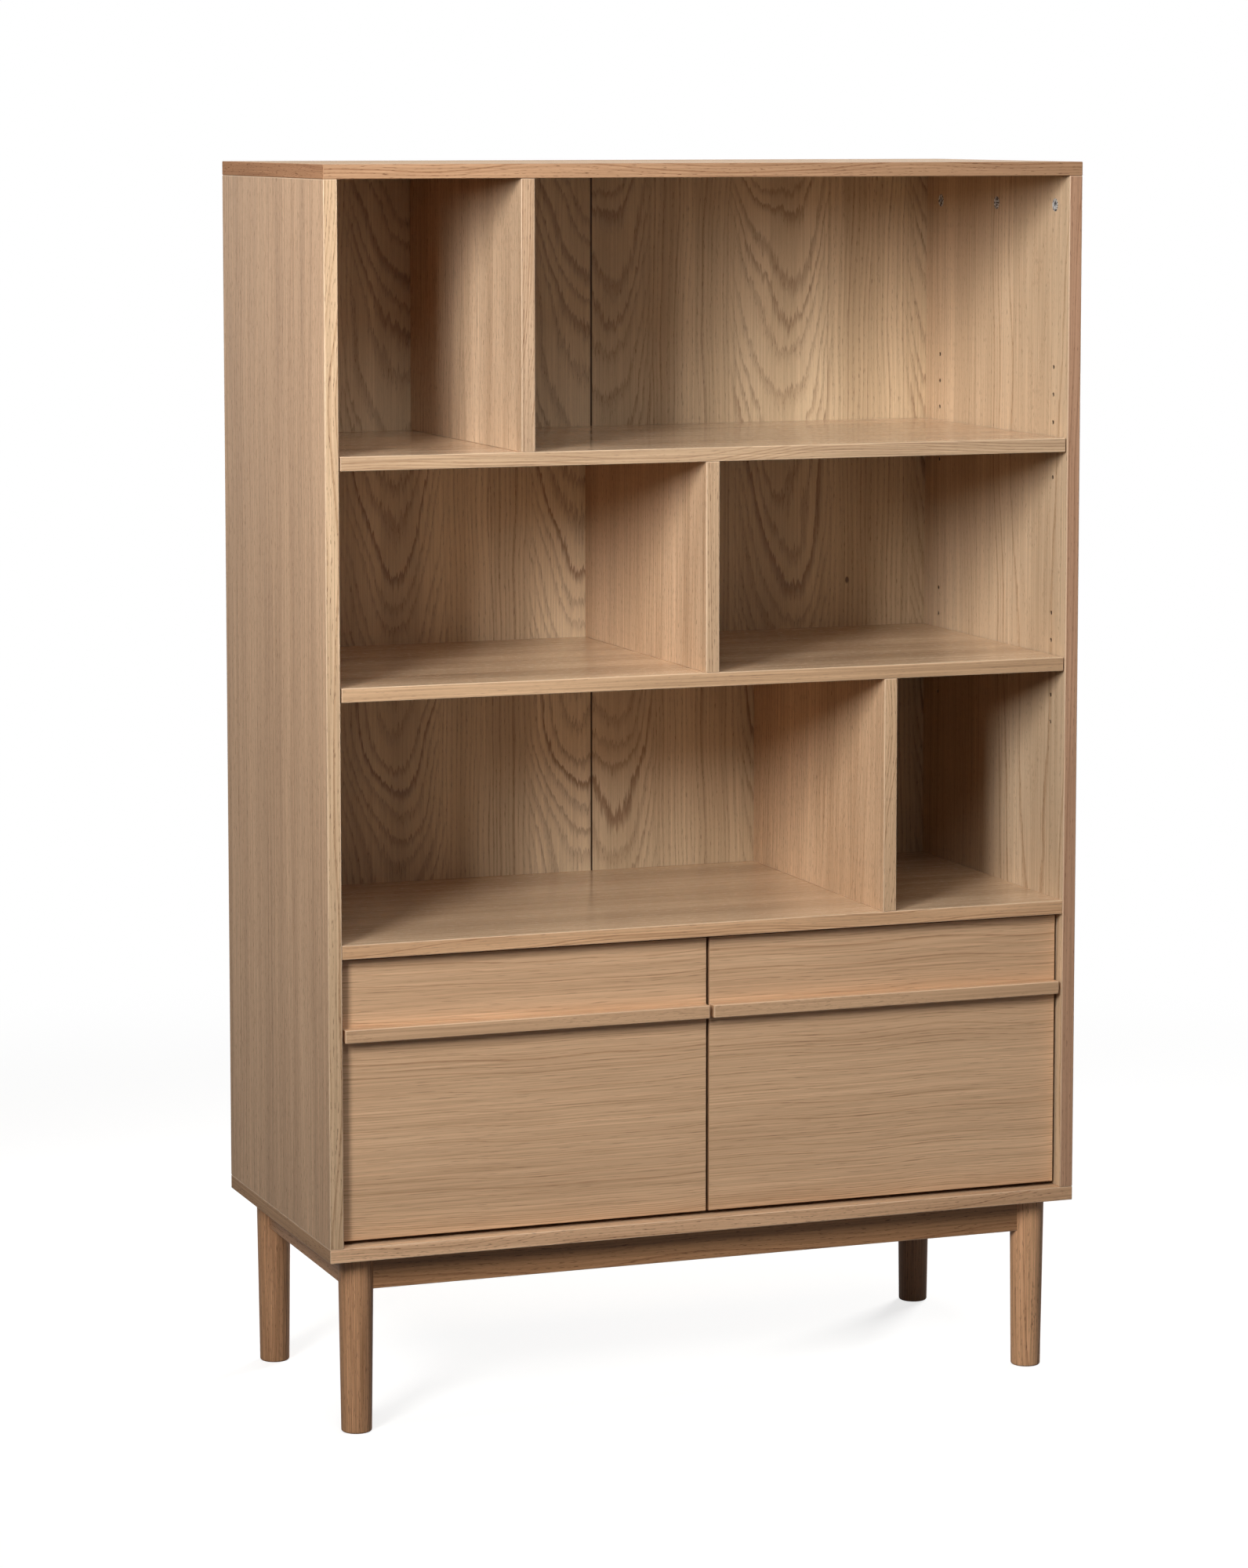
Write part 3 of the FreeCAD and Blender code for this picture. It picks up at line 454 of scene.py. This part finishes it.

# Shelves are brighter and paler than the other veneer: painted light from above and a painted sheen on
# their tops. Their edge tints take that painted light back off the front edges
shelfFinishAndPaintedLight = {"axes": "YZX", "pores": 0.4, "roughness": 0.1, "bump": 0.015, "brightness": 1.12,
               "tint": (0.98, 1.04, 1.08)}
shelfBoards = {
    "upper_shelf": {**shelfFinishAndPaintedLight, "seed": 11.3, "heart": 0.4, "brightness": 1.05,
                    "tint": (0.98, 1.06, 1.14), "edgeTint": (0.85, 0.78, 0.7)},
    "middle_shelf": {**shelfFinishAndPaintedLight, "seed": 14.9, "heart": -0.4, "edgeTint": (0.84, 0.74, 0.65)},
    "fixed_shelf": {**shelfFinishAndPaintedLight, "seed": 17.6, "heart": 0.42, "edgeTint": (0.95, 0.8, 0.68)},
    "upper_divider": {"axes": "YXZ", "seed": 21.2,
                      "tint": (1.02, 1.1, 1.18), "edgeTint": (0.92, 0.88, 0.86)},
    "middle_divider": {"axes": "YXZ", "seed": 23.8, "heart": -0.5,
                       "tint": (1.0, 1.03, 1.06), "edgeTint": (0.97, 0.96, 0.94)},
    "lower_divider": {"axes": "YXZ", "seed": 26.1, "heart": 0.55,
                      "tint": (1.03, 1.05, 1.06), "edgeTint": (1.05, 1.03, 1.0)},
    # The dark edge tint is painted shade in the gap between the drawer fronts
    "drawer_partition": {"axes": "YXZ", "seed": 28.7, "edgeTint": (0.4, 0.34, 0.3)},
}
dressWood(shelfBoards)
print("stage 4: shelves and dividers finished")

# The back is flat cut: each leaf shows one column of arches that close downward
backFinishAndSeamShade = {
    "axes": "XYZ", "tone": "back", "tint": (1.0, 1.03, 1.06), "leaf": 0.232, "radius": 0.17, "reach": 0.062,
    # The dark arrises and the dark edge tint of the back leaves are painted shade in the seam between them
    # and along their edges
    "variety": 0.6, "fray": 0.003, "pores": 0.4, "fibre": 0.3, "arris": 0.5, "edge": (40, 27, 20),
    "edgeTint": (0.25, 0.2, 0.18), "edgeGloss": -0.6,
}
backBoards = {
    "back_panel_left": {**backFinishAndSeamShade, "seed": 31.4, "brightness": 1.34, "heart": -0.013,
                        "ring": 0.0034, "taper": 0.078, "waver": 0.018, "bands": 0.8},
    # This leaf is set darker than the left one: painted shade
    "back_panel_right": {**backFinishAndSeamShade, "seed": 36.9, "brightness": 1.22, "heart": 0.016,
                         "ring": 0.0036, "taper": 0.072, "waver": 0.022, "bands": 0.76,
                         "knot": (0.334, 0.2, 0.9)},
}
dressWood(backBoards)
print("stage 5: back finished")

legFinish = {"axes": "XYZ", "tone": "solid", "fibre": 0.7, "arris": 0.0, "holeTone": None}
blockFinish = {"axes": "XYZ", "tone": "pine", "ring": 0.003, "pores": 0.1, "roughness": 0.6, "holeTone": None}
baseWood = {
    # The legs differ in brightness as painted light: the front legs lighter where light falls on them, the
    # back right leg darker as painted shade under the case
    "leg_front_left": {**legFinish, "seed": 41.3, "brightness": 1.18},
    "leg_front_right": {**legFinish, "seed": 43.7, "brightness": 1.58},
    "leg_back_left": {**legFinish, "seed": 45.2},
    "leg_back_right": {**legFinish, "seed": 47.9, "brightness": 0.62},
    "front_rail": {"axes": "ZYX", "tone": "solid", "seed": 51.1,
                   "brightness": 0.92, "tint": (1.0, 1.0, 0.95)},
    "back_rail": {"axes": "ZYX", "tone": "solid", "seed": 53.4},
    "left_rail": {"axes": "ZXY", "tone": "solid", "seed": 55.8},
    "right_rail": {"axes": "ZXY", "tone": "solid", "seed": 57.2},
    "corner_block_front_left": {**blockFinish, "seed": 69.0},
    "corner_block_front_right": {**blockFinish, "seed": 70.0},
    "corner_block_back_left": {**blockFinish, "seed": 68.0},
    "corner_block_back_right": {**blockFinish, "seed": 69.0},
}
dressWood(baseWood)
print("stage 6: legs, rails and blocks finished")

frontFinishAndGapShade = {
    "axes": "ZYX", "heart": 0.9, "waver": 0.009, "pores": 0.34, "poreLength": 0.03, "bands": 0.6,
    "fibre": 0.42, "drift": 0.16, "arris": 0.0,
    # The dark edge tint is painted shade in the gaps around the fronts
    "brightness": 1.1, "tint": (1.02, 0.975, 0.93), "edgeTint": (0.46, 0.4, 0.36),
}
stripFinish = {"axes": "ZYX", "brightness": 0.91, "pores": 0.3, "tint": (1.04, 1.0, 0.96)}
boxFinish = {"tone": "box", "pores": 0.15, "roughness": 0.5}
drawerWood = {}
for side, seed in (("left", 61.0), ("right", 71.0)):
    for name, board, step in (
        ("front", frontFinishAndGapShade, 0.0),
        ("grip_strip", stripFinish, 1.3),
        ("box_front", {**boxFinish, "axes": "ZYX"}, 11.1),
        ("box_back", {**boxFinish, "axes": "ZYX"}, 10.1),
        ("box_partition_side", {**boxFinish, "axes": "ZXY"}, 21.7),
        ("box_case_side", {**boxFinish, "axes": "ZXY"}, 16.7),
        ("box_bottom", {**boxFinish, "axes": "YZX", "pores": 0.1}, 5.9),
    ):
        drawerWood[side + "_drawer_" + name] = {**board, "seed": seed + step}
dressWood(drawerWood)

dowelFinish = {"axes": "XYZ", "tone": "beech", "pores": 0.2, "arris": 0.0, "holeTone": None}
dowelWood = {
    "divider_dowels": {**dowelFinish, "seed": 81.0},
    "partition_dowels": {**dowelFinish, "seed": 83.0},
}
dressWood(dowelWood)
print("stage 7: drawers and dowels finished")

fittings = {
    "cast zinc": {
        "dull": (84, 84, 86), "bright": (226, 227, 228), "scratch": (240, 240, 238),
        "streak": (300.0, 300.0, 300.0), "blotch": 380.0, "patches": (0.44, 0.56),
        "roughness": 0.34, "metallic": 0.35,
        "nodes": ["cam_housings"],
    },
    "zinc plated steel": {
        "dull": (196, 198, 200), "bright": (226, 228, 229), "scratch": (240, 240, 240),
        "streak": (900.0, 40.0, 900.0), "blotch": 90.0, "patches": (0.2, 0.8),
        "roughness": 0.3, "metallic": 0.6,
        "nodes": [side + "_drawer_" + member + "_slides"
                  for side in ("left", "right") for member in ("outer", "middle", "inner")],
    },
    "bright steel": {
        "dull": (186, 186, 186), "bright": (216, 216, 214), "scratch": (236, 236, 234),
        "streak": (700.0, 700.0, 700.0), "blotch": 300.0, "patches": (0.2, 0.8),
        "roughness": 0.3, "metallic": 0.7,
        "nodes": ["cam_bolts", "upper_shelf_pins", "middle_shelf_pins", "back_screws", "base_screws",
                  "leg_bolts", "slide_screws", "left_drawer_screws", "right_drawer_screws"],
    },
}
metalValues = {"scratchStrength": 0.4, "streakRoughness": 0.22, "scratchRoughness": 0.15,
               "bumpStrength": 0.25, "bumpDistance": 0.00005}


def metalMaterial(title, metal):
    material = bpy.data.materials.new(title)
    material.use_nodes = True
    tree = material.node_tree
    shader = tree.nodes["Principled BSDF"]
    place = addNode(tree, "ShaderNodeTexCoord").outputs["Object"]
    skin = {"Position": place, "Streak": metal["streak"], "Blotch": metal["blotch"]}
    skin = placeGroup(tree, metalSkin, skin)
    patches = remap(tree, skin["Blotches"], *metal["patches"])
    color = mixColor(tree, patches, linear(*metal["dull"]), linear(*metal["bright"]))
    scratched = calc(tree, "MULTIPLY", skin["Scratches"], metalValues["scratchStrength"])
    tree.links.new(mixColor(tree, scratched, color, linear(*metal["scratch"])), shader.inputs["Base Color"])
    rough = calc(tree, "MULTIPLY_ADD", skin["Streaks"], metalValues["streakRoughness"], metal["roughness"])
    rough = calc(tree, "MULTIPLY_ADD", skin["Scratches"], metalValues["scratchRoughness"], rough)
    tree.links.new(rough, shader.inputs["Roughness"])
    shader.inputs["Metallic"].default_value = metal["metallic"]
    bump = addNode(tree, "ShaderNodeBump")
    bump.inputs["Strength"].default_value = metalValues["bumpStrength"]
    bump.inputs["Distance"].default_value = metalValues["bumpDistance"]
    tree.links.new(skin["Streaks"], bump.inputs["Height"])
    tree.links.new(bump.outputs[0], shader.inputs["Normal"])
    return material


for title, metal in fittings.items():
    material = metalMaterial(title, metal)
    for nodeName in metal["nodes"]:
        dress(nodeName, material)
print("stage 8: fittings finished")

# The floor. The camera sees it pale and fading into white, while its light on the object stays grey
floorValues = {
    "radius": 12.0, "corners": 64, "roughness": 0.8, "specular": 0.15,
    "pale": (184, 184, 183), "mottle": (188, 188, 187), "mottleScale": 3.0, "mottleDetail": 3.0,
    "grey": (100, 99, 98), "glow": 0.76, "mirrored": 0.15, "fadeFrom": 0.9, "fadeTo": 2.6,
}


def buildFloor(values):
    mesh = bpy.data.meshes.new("floor")
    turns = [2 * math.pi * k / values["corners"] for k in range(values["corners"])]
    ring = [(values["radius"] * math.cos(turn), values["radius"] * math.sin(turn), 0.0) for turn in turns]
    mesh.from_pydata(ring, [], [list(range(values["corners"]))])
    floor = bpy.data.objects.new("floor", mesh)
    bpy.context.collection.objects.link(floor)
    material = bpy.data.materials.new("floor")
    material.use_nodes = True
    tree = material.node_tree
    shader = tree.nodes["Principled BSDF"]
    place = addNode(tree, "ShaderNodeTexCoord").outputs["Object"]
    paths = addNode(tree, "ShaderNodeLightPath").outputs
    seen = calc(tree, "MAXIMUM", paths["Is Camera Ray"], paths["Is Transmission Ray"])
    mirrored = calc(tree, "MULTIPLY", paths["Is Glossy Ray"], values["mirrored"])
    seen = calc(tree, "MAXIMUM", seen, mirrored)
    mottle = noise(tree, place, values["mottleScale"], values["mottleDetail"])
    shown = mixColor(tree, mottle, linear(*values["pale"]), linear(*values["mottle"]))
    tree.links.new(mixColor(tree, seen, linear(*values["grey"]), shown), shader.inputs["Base Color"])
    shader.inputs["Roughness"].default_value = values["roughness"]
    shader.inputs["Specular IOR Level"].default_value = values["specular"]
    shader.inputs["Emission Strength"].default_value = values["glow"]
    glowing = mixColor(tree, seen, (0.0, 0.0, 0.0, 1.0), (1.0, 1.0, 1.0, 1.0))
    tree.links.new(glowing, shader.inputs["Emission Color"])
    distance = vectorCalc(tree, "LENGTH", place)
    faded = calc(tree, "MULTIPLY", remap(tree, distance, values["fadeFrom"], values["fadeTo"]), seen)
    white = addNode(tree, "ShaderNodeEmission")
    mixer = addNode(tree, "ShaderNodeMixShader")
    tree.links.new(faded, mixer.inputs[0])
    tree.links.new(shader.outputs[0], mixer.inputs[1])
    tree.links.new(white.outputs[0], mixer.inputs[2])
    tree.links.new(mixer.outputs[0], tree.nodes["Material Output"].inputs["Surface"])
    mesh.materials.append(material)


buildFloor(floorValues)

# Soft lamps: a tall one from the left, one high up in front, weak ones in front and on top, one behind
lamps = {
    "key": {"place": (-2.4, -2.4, 2.35), "target": (-0.1, 0.0, 1.4), "size": (0.8, 1.6),
            "power": 20.5, "spread": 65.0, "color": (1.0, 0.985, 0.96)},
    "high": {"place": (-0.9, -2.4, 2.9), "target": (0.0, 0.0, 0.6), "size": (1.2, 1.0),
             "power": 21.0, "spread": 180.0, "color": (1.0, 0.985, 0.965)},
    "front": {"place": (0.4, -3.6, 1.2), "target": (0.0, 0.0, 0.8), "size": (1.8, 1.8),
              "power": 1.5, "spread": 180.0, "color": (1.0, 0.99, 0.975)},
    "top": {"place": (0.0, -0.5, 4.2), "target": (0.0, 0.0, 1.8), "size": (2.0, 1.4),
            "power": 6.0, "spread": 60.0, "color": (1.0, 0.99, 0.98)},
    "rear": {"place": (3.0, 2.6, 1.8), "target": (0.2, 0.0, 1.1), "size": (1.5, 1.8),
             "power": 26.0, "spread": 60.0, "color": (1.0, 0.99, 0.98)},
}
for name, lamp in lamps.items():
    light = bpy.data.lights.new(name, "AREA")
    light.shape = "RECTANGLE"
    light.size, light.size_y = lamp["size"]
    light.energy = lamp["power"]
    light.color = lamp["color"]
    light.spread = math.radians(lamp["spread"])
    item = bpy.data.objects.new(name, light)
    item.location = lamp["place"]
    toTarget = Vector(lamp["target"]) - Vector(lamp["place"])
    item.rotation_euler = toTarget.to_track_quat("-Z", "Y").to_euler()
    bpy.context.collection.objects.link(item)

worldValues = {
    "light": (0.01, 0.01, 0.01, 1.0), "seen": (1.0, 1.0, 1.0, 1.0), "mirrored": (0.7, 0.7, 0.7, 1.0),
}
world = bpy.data.worlds.new("studio")
bpy.context.scene.world = world
world.use_nodes = True
sky = world.node_tree
skyPaths = addNode(sky, "ShaderNodeLightPath").outputs
skySeen = calc(sky, "MAXIMUM", skyPaths["Is Camera Ray"], skyPaths["Is Transmission Ray"])
skyColor = mixColor(sky, skyPaths["Is Glossy Ray"], worldValues["light"], worldValues["mirrored"])
skyColor = mixColor(sky, skySeen, skyColor, worldValues["seen"])
sky.links.new(skyColor, sky.nodes["Background"].inputs["Color"])
print("stage 9: floor and light ready")

cameraValues = {"place": (-1.9395, -5.1277, 1.4648), "yaw": 20.405, "pitch": -6.15,
                "lens": 108.704, "sensor": 36.0, "shift": -0.1}
lensData = bpy.data.cameras.new("camera")
lensData.lens = cameraValues["lens"]
lensData.sensor_width = cameraValues["sensor"]
lensData.shift_y = cameraValues["shift"]
camera = bpy.data.objects.new("camera", lensData)
camera.location = cameraValues["place"]
tilt, turn = math.radians(90 + cameraValues["pitch"]), math.radians(-cameraValues["yaw"])
camera.rotation_euler = Euler((tilt, 0.0, turn))
bpy.context.collection.objects.link(camera)
bpy.context.scene.camera = camera
bpy.context.scene.view_settings.view_transform = "Standard"
print("stage 10: camera ready")
